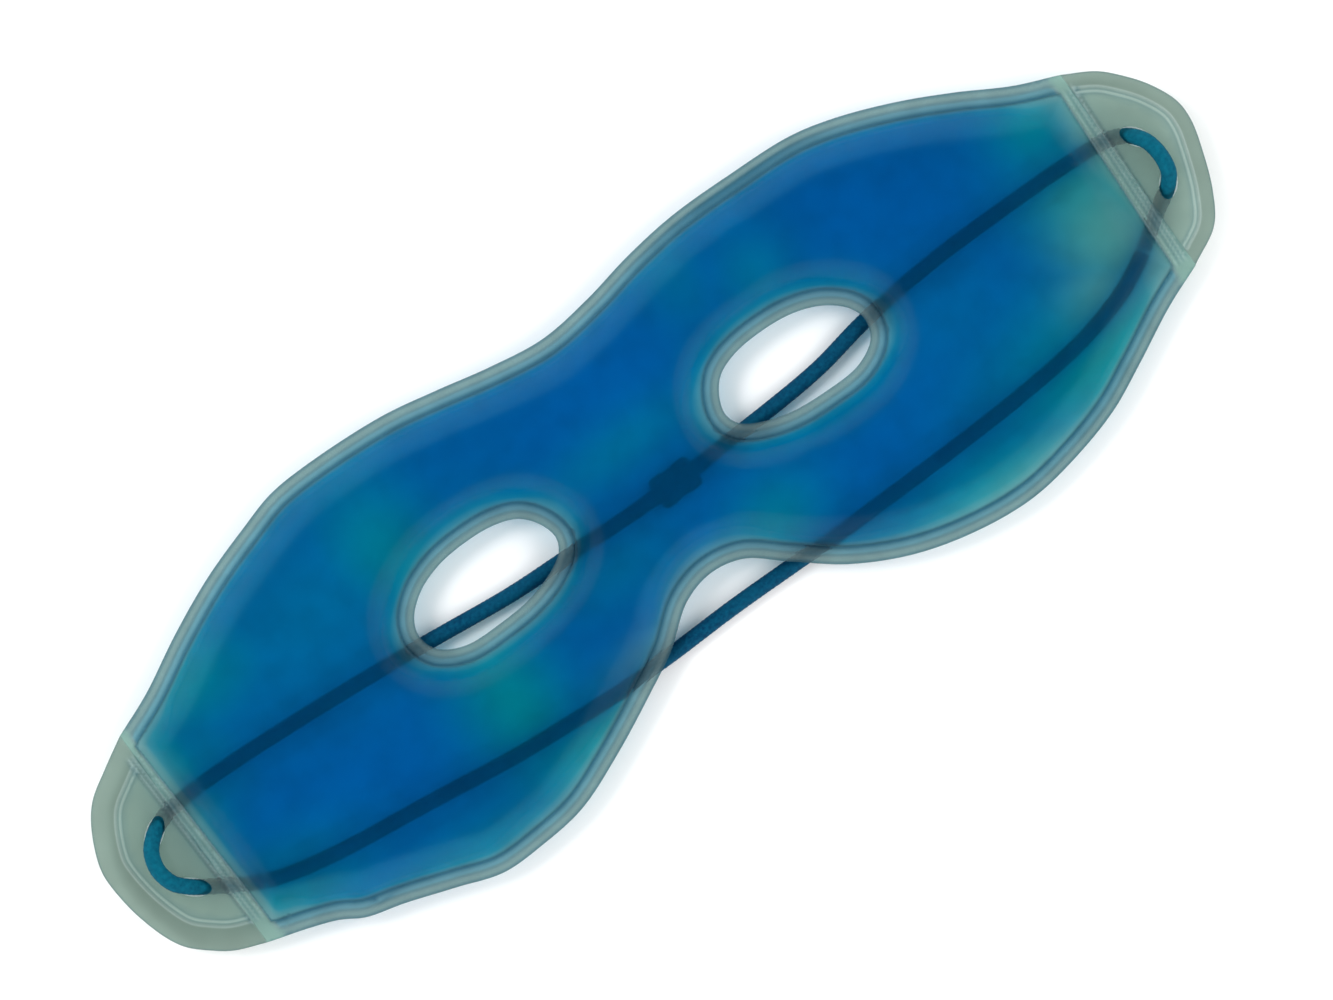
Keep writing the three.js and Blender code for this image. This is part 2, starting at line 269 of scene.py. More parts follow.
def smooth(t):
    """A soft step, from 0 at 0 to 1 at 1."""
    t = np.clip(t, 0, 1)
    return t * t * (3 - 2 * t)


def bell(t, width):
    """A bump of height 1 round 0."""
    return np.exp(-(t / width) ** 2)


CROWN = 1.9           # power of the curve that a filled film rises in


def crown(into, reach):
    """Rise of a filled film from 0 at its weld to 1 at reach."""
    t = np.clip(into / reach, 0, 1)
    return 1 - (1 - t) ** CROWN


GRID = 1.0            # spacing of the grid that the swelling is worked out on
GRID_X = np.arange(-100, 100.5, GRID)
GRID_Y = np.arange(-46, 37.5, GRID)
FLOW = 11.0           # how far from a weld the film goes on swelling
ROUNDS = 500          # steps of the relaxation


def membrane():
    """Swelling of a film held at every weld, 0 to 1, on the grid."""
    points = np.stack(np.meshgrid(GRID_X, GRID_Y), axis=-1).reshape(-1, 2)
    free = (field(points) > 0).reshape(len(GRID_Y), len(GRID_X))
    swell = np.zeros(free.shape)
    for _ in range(ROUNDS):
        around = (swell[:-2, 1:-1] + swell[2:, 1:-1] + swell[1:-1, :-2] + swell[1:-1, 2:])
        swell[1:-1, 1:-1] = (around + GRID ** 2 / FLOW ** 2) / (4 + GRID ** 2 / FLOW ** 2)
        swell *= free
    return swell / swell.max()


SWELL = membrane()


def on_grid(values, points):
    """Values kept on the grid, read between its points."""
    gx = np.clip((points[:, 0] - GRID_X[0]) / GRID, 0, len(GRID_X) - 1.001)
    gy = np.clip((points[:, 1] - GRID_Y[0]) / GRID, 0, len(GRID_Y) - 1.001)
    i, j = gx.astype(int), gy.astype(int)
    u, v = gx - i, gy - j
    return ((values[j, i] * (1 - u) + values[j, i + 1] * u) * (1 - v)
            + (values[j + 1, i] * (1 - u) + values[j + 1, i + 1] * u) * v)


SEED_STEP = 7.31      # distance between the layers of noise that the seeds read


def noise_at(points, scale, seed):
    """Smooth noise, about -1 to 1, with features about scale millimetres wide."""
    layer = seed * SEED_STEP
    return np.array([noise.noise(Vector((x / scale, y / scale, layer))) for x, y in points])


def spots(points, marks):
    """How strongly each point is marked, 0 to 1, by marks of X, Y, half width, half height and
    strength.
    """
    total = np.zeros(len(points))
    for x, y, width, height, strength in marks:
        away = ((points[:, 0] - x) / width) ** 2 + ((points[:, 1] - y) / height) ** 2
        total = np.maximum(total, strength * np.exp(-away))
    return total


# Dents in the front film: the ends of each one, its width and its depth
DENTS = [((20.5, -12.5), (25, -15), 2.2, 0.3), ((26, -16.5), (26, -20.5), 2.4, 0.32),
         ((26, 24), (30, 18), 2.4, 0.3), ((33, 15.5), (37, 22), 1.8, 0.3),
         ((-12, 2), (-6, 7), 2.4, 0.4), ((-2, -2), (6, 5), 3.0, 0.4),
         ((-46, 16), (-44, 25), 3.0, 0.3), ((6, -12), (11, -9), 2.2, 0.4),
         ((-8, -14), (-4, -10), 2.6, 0.35)]
DOMED, SWOLLEN = 3.4, 1.9   # the front film's rise near a weld, and further in
DOME_REACH = 5.2      # distance from a weld over which the front film domes
GAP = 0.05            # half the gap between the two films at a weld
FLOOR_GAP = 0.05      # gap between the back film and the ground
BACK_REACH = 4.6      # distance from a weld over which the back film comes down to the ground
DRAPE = 3.12          # height of the back film where it lies over a cord
DRAPE_REACH = 2.3     # distance from a cord over which it comes down
SLEEVE_HALF = (4.1, 3.1)   # half the length and width of the back film's rise over the sleeve
RIM_RIDGE = 1.55      # distance outward from the gel to the pressed line in the fused band
END_RIDGES = (0.15, 0.95, 1.7, 2.5)   # the same for the straight ridges of an end weld
END_RIDGE_WIDTH = 0.2


def end_distance(points):
    """Distance beyond the nearer end weld, outward."""
    side = np.where(points[:, 0] < 0, -1, 1)
    reach = np.where(side < 0, -end_weld_x(-1, points[:, 1]), end_weld_x(1, points[:, 1]))
    return side * points[:, 0] - reach


def straight_weld(points):
    """Where the straight weld lines of the ends run, 0 to 1."""
    return smooth((11 - points[:, 1]) / 1.5) * smooth((points[:, 1] + 25.5) / 1.5)


def bars(beyond, places, width):
    """Straight bumps at some distances beyond an end weld."""
    return sum(bell(beyond - place, width) for place in places)


def weld_relief(points, into):
    """Fine ridges and waves that welding leaves in the fused film."""
    flange = smooth(-into / 0.3)
    beyond = end_distance(points)
    rim = smooth((-beyond - 0.2) / 0.8)
    ridge = 0.22 * bell(into + 0.22, 0.2) + 0.24 * rim * bell(into + RIM_RIDGE, 0.22)
    bar = 0.3 * straight_weld(points) * bars(beyond, END_RIDGES, END_RIDGE_WIDTH)
    wave = noise_at(points, 9, 3) * 0.1 + noise_at(points, 2.2, 4) * 0.015
    return ridge + bar + flange * wave


def front_top(points, into):
    """Height of the front film's upper side."""
    rise = DOMED * crown(into, DOME_REACH) + SWOLLEN * on_grid(SWELL, points) * smooth(into / 6)
    slack = smooth(into / 5)
    for a, b, width, depth in DENTS:
        rise -= slack * depth * bell(distance(points, np.array([a, b]), closed=False), width)
    rise += slack * (noise_at(points, 26, 1) * 0.35 + noise_at(points, 9, 2) * 0.09)
    pucker = noise_at(points * (0.6, 1), 3.2, 6) * bell(into - 2.2, 1.8) * smooth(into / 0.8)
    return WELD_Z + GAP + FILM + rise + 0.1 * pucker + weld_relief(points, into)


def front_bottom(points, into):
    """Height of the front film's lower side, one film thickness in where the film slopes."""
    relief = weld_relief(points, into)
    level = 1 - np.clip(into / DOME_REACH, 0, 1)
    slope = DOMED * CROWN / DOME_REACH * level ** (CROWN - 1) * (into > 0)
    wall = FILM * np.sqrt(1 + slope ** 2 * smooth(into / 0.8))
    low = front_top(points, into) - relief * smooth(-into / 0.2 + 1) - wall
    return np.maximum(low, WELD_Z + GAP / 2)


def drape(points):
    """Height that the cords and their sleeve hold the back film up to."""
    near = np.min([distance(points, route, closed=False) for route in ROUTES.values()], axis=0)
    lifted = DRAPE / (1 + (near / DRAPE_REACH) ** 4)
    x = np.maximum(np.abs(points[:, 0] - SLEEVE[0]) - SLEEVE_HALF[0], 0)
    y = np.maximum(np.abs(points[:, 1] - SLEEVE[1] + EYE_LINE) - SLEEVE_HALF[1], 0)
    return np.maximum(lifted, (DRAPE + 0.12) / (1 + (np.hypot(x, y) / 1.7) ** 4))


def back_bottom(points, into):
    """Height of the back film's lower side."""
    flange = WELD_Z - GAP - FILM
    resting = flange - (flange - FLOOR_GAP) * crown(into, BACK_REACH)
    resting += smooth(into / 6) * 0.12 * (1 + noise_at(points, 14, 5))
    return (resting ** 12 + drape(points) ** 12) ** (1 / 12)


def back_top(points, into):
    """Height of the back film's upper side."""
    return np.minimum(back_bottom(points, into) + FILM, WELD_Z - GAP)


# ------------------------------------------------------------------ flat triangulation

CELL = 2              # size of the sieve's cells, more than any distance it keeps


class Sieve:
    """Keeps points that stay clear of the ones kept before them."""

    def __init__(self):
        self.kept, self.cells = [], {}

    def add(self, points, clear):
        """Keeps each point that has no kept one nearer than clear."""
        for x, y in points:
            cell = (int(x // CELL), int(y // CELL))
            near = [q for i in (-1, 0, 1) for j in (-1, 0, 1)
                    for q in self.cells.get((cell[0] + i, cell[1] + j), ())]
            if all((x - u) ** 2 + (y - v) ** 2 >= clear ** 2 for u, v in near):
                self.kept.append((x, y))
                self.cells.setdefault(cell, []).append((x, y))


def hexes(low, high, step):
    """A grid of points in staggered rows over a rectangle."""
    rows = []
    for k, y in enumerate(np.arange(low[1], high[1], step * 0.866)):
        x = np.arange(low[0], high[0], step) + (k % 2) * step / 2
        rows.append(np.stack([x, np.full(len(x), y)], axis=1))
    return np.vstack(rows)


def flat_mesh(loops, groups):
    """Points and triangles over a plane, with every loop's edges among the triangles'."""
    sieve, edges = Sieve(), []
    for loop in loops:
        first = len(sieve.kept)
        sieve.add(loop, 1e-4)
        edges += [(first + k, first + (k + 1) % len(loop)) for k in range(len(loop))]
    for points, clear in groups:
        sieve.add(points, clear)
    verts = [Vector(p) for p in sieve.kept]
    points, _, faces, *_ = geometry.delaunay_2d_cdt(verts, edges, [], 0, 1e-5)
    return np.array([tuple(p) for p in points]), np.array([f for f in faces if len(f) == 3])


# Distances from a weld of the rows of points along it, closest where the film bends most
LEVELS = [-2.75, -2.35, -2.0, -1.75, -1.55, -1.35, -1.1, -0.8, -0.55, -0.38, -0.22, -0.1,
          0.15, 0.35, 0.6, 0.95, 1.4, 1.95, 2.6, 3.4, 4.3, 5.3]


def welded_rows():
    """Rows of points that follow every weld."""
    found = []
    for loop, sign in [(CHAMBER, 1), (RINGS[-1], -1), (RINGS[1], -1)]:
        for level in LEVELS:
            row = loop + sign * level * normals(loop)
            into = field(row)
            keep = (np.abs(into - level) < 0.08 + 0.03 * abs(level)) & inside(row, SHEET)
            found.append(row[keep])
    return np.vstack(found)


def turned(faces, points):
    """Triangles that all turn left, without those of no area."""
    a, b, c = (points[faces[:, k]] for k in range(3))
    area = (b - a)[:, 0] * (c - a)[:, 1] - (b - a)[:, 1] * (c - a)[:, 0]
    return np.where((area < 0)[:, None], faces[:, ::-1], faces)[np.abs(area) > 1e-7]


def beside_cords():
    """Rows of points that follow the cords under the back film."""
    found = []
    for route in (ROUTES["upper"][::2], ROUTES["lower"][::2]):
        side = open_normals(route)
        found += [route + side * offset for offset in (0, -0.8, 0.8, -1.5, 1.5, -2.2, 2.2,
                                                       -3, 3, -4, 4)]
    rows = np.vstack(found)
    return rows[field(rows) > 0.3]


SHEET_LOOP = respaced(SHEET, 1.0)
LOW_Y, HIGH_Y = -44, 36
POINTS, FACES = flat_mesh(
    [SHEET_LOOP, respaced(CHAMBER, 1.0), RINGS[-1], RINGS[1], EYES[-1], EYES[1]],
    [(welded_rows(), 0.14), (beside_cords(), 0.6),
     (hexes((-98, LOW_Y), (-92, HIGH_Y), 0.45), 0.33),
     (hexes((92, LOW_Y), (98, HIGH_Y), 0.45), 0.33),
     (hexes((-98, LOW_Y), (98, HIGH_Y), 1.35), 0.95)])
FACES = turned(FACES, POINTS)
CENTRES = POINTS[FACES].mean(axis=1)
OPEN = inside(CENTRES, EYES[-1]) | inside(CENTRES, EYES[1])
IN_SHEET = inside(CENTRES, SHEET_LOOP) & ~OPEN
IN_CHAMBER = IN_SHEET & (field(CENTRES) > 0)
INTO = field(POINTS)
INTO[np.abs(INTO) < 1e-3] = 0


# ------------------------------------------------------------------ meshes

def placed(points):
    """Millimetres from the eye line, as metres in the model's frame."""
    return (np.asarray(points, float) + (0, EYE_LINE, 0)) * MM


def piece(name, verts, faces, material, slot, sharp=35, **values):
    """A smooth-shaded mesh object that keeps its own rest position and named values a point."""
    mesh = bpy.data.meshes.new(name)
    verts = placed(verts)
    mesh.from_pydata(verts.tolist(), [], [tuple(int(i) for i in f) for f in faces])
    mesh.validate()
    rest = mesh.attributes.new("rest", "FLOAT_VECTOR", "POINT")
    rest.data.foreach_set("vector", verts.astype(np.float32).ravel())
    for key, value in values.items():
        layer = mesh.attributes.new(key, "FLOAT", "POINT")
        layer.data.foreach_set("value", np.asarray(value, np.float32))
    mesh.polygons.foreach_set("use_smooth", [True] * len(mesh.polygons))
    mesh.set_sharp_from_angle(angle=math.radians(sharp))
    mesh.materials.append(material)
    obj = bpy.data.objects.new(name, mesh)
    bpy.context.scene.collection.objects.link(obj)
    return obj


def slab(points, faces, low, high):
    """Points and faces of a closed body between two heights over part of a flat mesh."""
    used, index = np.unique(faces, return_inverse=True)
    index = index.reshape(-1, 3)
    count = len(used)
    flat = points[used]
    verts = np.vstack([np.column_stack([flat, high[used]]), np.column_stack([flat, low[used]])])
    found = [tuple(f) for f in index] + [tuple(f[::-1] + count) for f in index]
    edges = {(f[k], f[(k + 1) % 3]) for f in index.tolist() for k in range(3)}
    found += [(b, a, a + count, b + count) for a, b in edges if (b, a) not in edges]
    return used, verts, found


SIDES = 20            # faces round a cord
BRAID_PITCH = 1.9     # length along the cord of one turn of a braid strand
STRANDS = 5
BRAID_DEPTH = 0.05    # half the height of a strand over the grooves


def tube(path, radius):
    """Points and faces of a closed braided tube along a path."""
    along = np.gradient(path, axis=0)
    along /= np.linalg.norm(along, axis=1, keepdims=True)
    across = np.cross(along, (0, 0, 1))
    across /= np.linalg.norm(across, axis=1, keepdims=True)
    over = np.cross(across, along)
    turn = np.linspace(0, 2 * np.pi, SIDES, endpoint=False)[None]
    twist = 2 * np.pi * travelled(path)[:, None] / BRAID_PITCH
    relief = np.cos(STRANDS * turn + twist) * np.cos(STRANDS * turn - twist)
    size = radius - BRAID_DEPTH + BRAID_DEPTH * relief
    verts = (path[:, None] + (size * np.cos(turn))[..., None] * across[:, None]
             + (size * np.sin(turn))[..., None] * over[:, None]).reshape(-1, 3)
    faces = []
    for k in range(len(path) - 1):
        for i in range(SIDES):
            a, b = k * SIDES + i, k * SIDES + (i + 1) % SIDES
            faces.append((a, b, b + SIDES, a + SIDES))
    last = (len(path) - 1) * SIDES
    faces += [tuple(range(SIDES - 1, -1, -1)), tuple(range(last, last + SIDES))]
    return verts, faces


# ------------------------------------------------------------------ materials

# Tint of the gel at each face that light crosses, from its thin edge to its full depth
GEL_BLUE = [(0.0, (0.40, 0.64, 0.66)), (0.3, (0.20, 0.52, 0.62)), (0.6, (0.02, 0.36, 0.58)),
            (0.85, (0.0, 0.305, 0.60)), (1.0, (0.0, 0.29, 0.61))]
GEL_TEAL = [(0.0, (0.40, 0.64, 0.64)), (0.3, (0.24, 0.60, 0.60)), (0.6, (0.04, 0.54, 0.57)),
            (0.85, (0.0, 0.49, 0.54)), (1.0, (0.0, 0.475, 0.53))]
GEL_PALE = [(0.0, (0.55, 0.75, 0.72)), (0.3, (0.48, 0.72, 0.67)), (1.0, (0.35, 0.64, 0.58))]
GEL_CLEAR = 0.9       # share of the light that goes through the gel's skin
# Dark and light of the cord's braid, and where it is rubbed: under the mask, darker as painted shade,
# and over the tabs, lighter as painted light
SHADED_RUN_TINTS = (0.0, 0.028, 0.072), (0.001, 0.062, 0.125), (0.002, 0.078, 0.138)
LIT_LOOP_TINTS = (0.0, 0.05, 0.09), (0.0015, 0.10, 0.16), (0.002, 0.12, 0.175)
SLEEVE_TINT = [(0.3, (0.006, 0.03, 0.06)), (0.7, (0.01, 0.05, 0.09))]
# Tint of the film, from over the gel (0) through the weld's inner and outer bands to a tab (1)
FUSED_FRONT = [(0.0, (0.98, 0.995, 0.995)), (0.35, (0.28, 0.51, 0.57)), (0.45, (0.28, 0.51, 0.57)),
               (0.7, (0.40, 0.54, 0.54)), (1.0, (0.43, 0.60, 0.55))]
FUSED_BACK = [(0.0, (0.99, 1.0, 1.0)), (0.35, (0.38, 0.61, 0.67)), (0.45, (0.38, 0.61, 0.67)),
              (0.7, (0.46, 0.59, 0.58)), (1.0, (0.55, 0.71, 0.66))]
# Tint of a tab, from its inner panel (0) to its fused band (1)
TAB_TINT = [(0.0, (0.43, 0.565, 0.505)), (1.0, (0.31, 0.41, 0.36))]
# Tint of the fused film's painted highlights, and of its dark weld lines, marks and painted shade
PAINTED_HIGHLIGHT_TINT = (0.80, 0.92, 0.88)
WELD_LINE_AND_SHADE_TINT = (0.30, 0.50, 0.62)
# Refractive indices, lower than real ones, so that the many faces don't turn to white haze
GEL_IOR, FRONT_IOR, BACK_IOR, TAB_IOR = 1.06, 1.1, 1.06, 1.2


def new_material(name):
    """A material, its nodes and links, and its main shader."""
    material = bpy.data.materials.new(name)
    material.use_nodes = True
    nodes, links = material.node_tree.nodes, material.node_tree.links
    return material, nodes, links, nodes["Principled BSDF"]


def attribute(nodes, name, output):
    """A value that a piece keeps at each of its points."""
    node = nodes.new("ShaderNodeAttribute")
    node.attribute_name = name
    return node.outputs[output]


def noise_value(nodes, links, size, detail=2.0, stretch=(1, 1, 1)):
    """Noise with features about size metres wide, fixed to the piece at rest."""
    scaled = nodes.new("ShaderNodeMapping")
    scaled.inputs["Scale"].default_value = stretch
    links.new(attribute(nodes, "rest", "Vector"), scaled.inputs["Vector"])
    texture = nodes.new("ShaderNodeTexNoise")
    texture.inputs["Scale"].default_value = 1 / size
    texture.inputs["Detail"].default_value = detail
    links.new(scaled.outputs["Vector"], texture.inputs["Vector"])
    return texture.outputs["Fac"]


def ramp(nodes, links, value, stops):
    """A colour from a value, by a list of positions and colours."""
    node = nodes.new("ShaderNodeValToRGB")
    elements = node.color_ramp.elements
    while len(elements) < len(stops):
        elements.new(0.5)
    for element, (position, color) in zip(elements, stops):
        element.position = position
        element.color = (*color, 1)
    links.new(value, node.inputs["Fac"])
    return node.outputs["Color"]


def mixed(nodes, links, factor, first, second, blend="MIX"):
    """A colour mixed from two; each of the three may be a socket or a plain value."""
    node = nodes.new("ShaderNodeMix")
    node.data_type, node.blend_type = "RGBA", blend
    for socket, value in zip((node.inputs[0], node.inputs[6], node.inputs[7]),
                             (factor, first, second)):
        if isinstance(value, bpy.types.NodeSocket):
            links.new(value, socket)
        else:
            socket.default_value = value if socket == node.inputs[0] else (*value, 1)
    return node.outputs[2]


def scaled_value(nodes, links, value, low, high, to_low, to_high):
    """A value's range from low to high, turned into another range."""
    node = nodes.new("ShaderNodeMapRange")
    for key, number in (("From Min", low), ("From Max", high), ("To Min", to_low),
                        ("To Max", to_high)):
        node.inputs[key].default_value = number
    links.new(value, node.inputs["Value"])
    return node.outputs["Result"]


def bump(nodes, links, shader, height, distance_mm, strength=1.0):
    """Fine relief that is too small for the mesh."""
    node = nodes.new("ShaderNodeBump")
    node.inputs["Strength"].default_value = strength
    node.inputs["Distance"].default_value = distance_mm * MM
    links.new(height, node.inputs["Height"])
    links.new(node.outputs["Normal"], shader.inputs["Normal"])


def gel_material():
    """Translucent gel: deeper in colour away from the welds, teal and pale in places."""
    material, nodes, links, shader = new_material("gel")
    depth = attribute(nodes, "depth", "Fac")
    blue = ramp(nodes, links, depth, GEL_BLUE)
    teal = ramp(nodes, links, depth, GEL_TEAL)
    pale = ramp(nodes, links, depth, GEL_PALE)
    color = mixed(nodes, links, attribute(nodes, "teal", "Fac"), blue, teal)
    color = mixed(nodes, links, attribute(nodes, "pale", "Fac"), color, pale)
    cloud = scaled_value(nodes, links, noise_value(nodes, links, 0.016), 0.3, 0.7, 0.92, 1.06)
    color = mixed(nodes, links, 1.0, color, cloud, "MULTIPLY")
    links.new(color, shader.inputs["Base Color"])
    rough = scaled_value(nodes, links, noise_value(nodes, links, 0.009), 0.3, 0.7, 0.30, 0.35)
    links.new(rough, shader.inputs["Roughness"])
    shader.inputs["Transmission Weight"].default_value = GEL_CLEAR
    shader.inputs["IOR"].default_value = GEL_IOR
    bump(nodes, links, shader, noise_value(nodes, links, 0.006), 0.1, 0.4)
    return material


def film_material(name, tints, rough, ior, clear=(1.0, 1.0)):
    """Clear PVC, grey-green where two sheets are fused; clear is how much light goes through it
    over the gel and in the fused film."""
    material, nodes, links, shader = new_material(name)
    tint = ramp(nodes, links, attribute(nodes, "fused", "Fac"), tints)
    # Painted highlights from the light value, then dark weld lines, marks and painted shade from the
    # line value
    tint = mixed(nodes, links, attribute(nodes, "light", "Fac"), tint, PAINTED_HIGHLIGHT_TINT)
    tint = mixed(nodes, links, attribute(nodes, "line", "Fac"), tint, WELD_LINE_AND_SHADE_TINT, "MULTIPLY")
    mottle = scaled_value(nodes, links, noise_value(nodes, links, 0.004, 3), 0.3, 0.7, 0.95, 1.03)
    tint = mixed(nodes, links, 1.0, tint, mottle, "MULTIPLY")
    links.new(tint, shader.inputs["Base Color"])
    scuffs = noise_value(nodes, links, 0.0011, 4, (1, 0.35, 1))
    links.new(scaled_value(nodes, links, scuffs, 0.35, 0.75, rough, rough + 0.1),
              shader.inputs["Roughness"])
    milky = scaled_value(nodes, links, attribute(nodes, "fused", "Fac"), 0.1, 0.6, *clear)
    links.new(milky, shader.inputs["Transmission Weight"])
    shader.inputs["IOR"].default_value = ior
    bump(nodes, links, shader, noise_value(nodes, links, 0.0035, 2), 0.05, 0.35)
    return material


def cord_material(name, dark, light, rubbed):
    """Braided elastic, dull, with a weave of two tints and paler rubbed places."""
    material, nodes, links, shader = new_material(name)
    weave = noise_value(nodes, links, 0.0007, 3)
    worn = noise_value(nodes, links, 0.012, 2)
    color = ramp(nodes, links, weave, [(0.3, dark), (0.7, light)])
    color = mixed(nodes, links, scaled_value(nodes, links, worn, 0.35, 0.7, 0, 0.35), color,
                  rubbed)
    links.new(color, shader.inputs["Base Color"])
    shader.inputs["Roughness"].default_value = 0.62
    shader.inputs["Specular IOR Level"].default_value = 0.04
    shader.inputs["Sheen Weight"].default_value = 0.01
    shader.inputs["Sheen Roughness"].default_value = 0.5
    bump(nodes, links, shader, noise_value(nodes, links, 0.0004, 2), 0.05, 0.8)
    return material


def sleeve_material():
    """Dark rubber."""
    material, nodes, links, shader = new_material("splice_sleeve")
    grain = noise_value(nodes, links, 0.0009, 3)
    links.new(ramp(nodes, links, grain, SLEEVE_TINT), shader.inputs["Base Color"])
    shader.inputs["Roughness"].default_value = 0.45
    bump(nodes, links, shader, grain, 0.04, 0.6)
    return material


GEL = gel_material()
FRONT_PVC = film_material("front_pvc", FUSED_FRONT, 0.05, FRONT_IOR, (1.0, 0.8))
BACK_PVC = film_material("back_pvc", FUSED_BACK, 0.12, BACK_IOR)
TAB_PVC = film_material("tab_pvc", TAB_TINT, 0.12, TAB_IOR, (0.85, 0.85))
# The runs under the mask take a darker copy of the cord as painted shade, the loops over the tabs a
# lighter copy as painted light
SHADED_RUN_CORD = cord_material("elastic_cord", *SHADED_RUN_TINTS)
LIT_LOOP_CORD = cord_material("elastic_cord_lit_over_tabs", *LIT_LOOP_TINTS)
SLEEVE_RUBBER = sleeve_material()


# ------------------------------------------------------------------ gel and films

# Soft stains: X, Y, half width, half height and strength of each
TEAL_MARKS = [(77, -30, 22, 14, 1), (89, -8, 11, 16, 1), (88, 8, 8, 7, 0.8), (50, -40, 24, 9, 1),
              (-40, -20, 9, 14, 1), (-30, -34, 18, 8, 0.9), (-43, 15, 10, 12, 0.8),
              (0, 5, 16, 5, 0.5), (15, -20, 9, 7, 0.7), (-82, 14, 14, 8, 0.75), (-93, 4, 5, 14, 0.7),
              (-60, -38, 26, 7, 0.5), (-60, 12, 30, 16, 0.35), (36, 16, 7, 7, 0.5),
              (24, 22, 6, 8, 0.35), (-12, -12, 12, 6, 0.35), (60, -10, 12, 10, 0.2),
              (-90, -24, 15, 8, 0.65), (-88, 4, 8, 10, 0.4)]
PALE_MARKS = [(88, -14, 8, 9, 0.75), (82, -20, 7, 5, 0.6), (95.5, -2, 3.2, 16, 0.7),
              (-96.5, -2, 2.4, 16, 0.4),
              (92, -22, 5, 5, 0.5), (60, -40, 14, 4, 0.3), (-15, -27, 8, 4, 0.35)]
# Where the gel takes longer to reach its full colour
SLOW_MARKS = [(15, 1, 5, 6, 1), (-14.5, 2, 4, 6, 0.8), (50, -4, 4, 6, 0.7), (-50, -2, 4, 6, 0.7),
              (45, -40, 26, 8, 0.6), (-42, -38, 14, 6, 0.5), (0, -18, 10, 4, 0.6),
              (31, 12, 14, 3, 0.3), (-32, 12, 14, 3, 0.5), (-32, -10, 14, 3, 0.5)]
PORT_MARKS = [(-78.8, -33.4, 0.6, 0.5, 1), (-76.6, -34.4, 1.8, 0.3, 0.7)]   # the filling port
# Painted shade on the flange along the brow and along the cheek
BROW_SHADE, CHEEK_SHADE = [(42, 31, 22, 4, 1)], [(72, -38, 26, 9, 1)]
# Painted shade on an end weld's ridges and painted highlights between them
PAINTED_SHADE_BARS, PAINTED_HIGHLIGHT_BARS = (0.95, 1.75, 2.6), (-0.5, 0.35, 1.35, 2.15)   # lines along an end weld
BAR_WIDTH = 0.26
SKIN = 0.02           # gap between the gel and a film

BEYOND = end_distance(POINTS)
BY_CORD = np.min([distance(POINTS, route, closed=False) for route in ROUTES.values()], axis=0)
BY_EYE = np.min([distance(POINTS, ring) for ring in RINGS.values()], axis=0)
AT_END = smooth((BEYOND + 1.2) / 1.4)
NONE = np.zeros(len(POINTS))


def fused_share():
    """0 over the gel, 0.4 to 0.7 from the weld's inner band to its outer one, 1 at a tab."""
    welded = 1 - smooth((INTO + 0.1) / 0.7)
    share = 0.4 * welded + 0.3 * smooth((-INTO - 0.9) / 0.8)
    return share + welded * AT_END * (1 - share)


FUSED = fused_share()


def lines_and_painted_shade():
    """How dark the front film's lines are: the weld lines at the pressed line and the chamber's edge,
    partly painted shade; cut edges; the filling port's mark; painted shade on the brow's and cheek's
    flange; and painted shade over the cords behind the fused film and on the end welds' ridges.
    """
    edge = smooth(1 - distance(POINTS, SHEET) / 0.35) * (np.abs(POINTS[:, 0]) < FOLD_X - 0.4)
    edge = np.maximum(edge, smooth((-INTO - 2.45) / 0.3) * (1 - AT_END))
    lines = (bell(INTO + RIM_RIDGE, 0.25) * 0.35 * (1 - AT_END)
             + 0.75 * bell(INTO + 0.15, 0.25) * (1 - 0.8 * AT_END) + 0.6 * edge
             + 0.85 * spots(POINTS, PORT_MARKS)
             + spots(POINTS, BROW_SHADE) * bell(INTO + 1.1, 0.8)
             + 0.3 * spots(POINTS, CHEEK_SHADE) * bell(INTO + 1.3, 1.0)
             + 0.5 * smooth(FUSED / 0.4) * bell(BY_CORD, 1.3)
             + 0.5 * straight_weld(POINTS) * bars(BEYOND, PAINTED_SHADE_BARS, BAR_WIDTH))
    return np.clip(lines, 0, 1)


def painted_highlights():
    """How light the painted highlights beside those lines are: between an end weld's ridges, and
    between the chamber's edge and the pressed line.
    """
    lines = (0.6 * straight_weld(POINTS) * bars(BEYOND, PAINTED_HIGHLIGHT_BARS, BAR_WIDTH)
             + 0.25 * bell(INTO + 0.95, 0.25) * (1 - AT_END))
    return np.clip(lines, 0, 1)


def gel_depth():
    """How far the gel's colour is on its way from a weld to its full depth, 0 to 1."""
    onset = 0.85 + spots(POINTS, SLOW_MARKS) * 2.2 + smooth((np.abs(POINTS[:, 0]) - 86) / 5)
    left_start = np.where(POINTS[:, 0] < 0, smooth((-BEYOND - 0.5) / 2.2), 1)
    return (1 - np.exp(-INTO / onset)) * left_start


def across_bridge(obj, *nodes):
    """A piece of both halves, across the bridge of the nose, that hides the parts it replaces."""
    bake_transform(obj)
    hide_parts(*nodes)
    return obj


def layer(name, where, low, high, material, slot, nodes, **values):
    """A layer of the whole mask between two heights."""
    used, verts, faces = slab(POINTS, FACES[where], low, high)
    kept = {key: np.tile(value[used], 2) for key, value in values.items()}
    return across_bridge(piece(name, verts, faces, material, slot, **kept), *nodes)


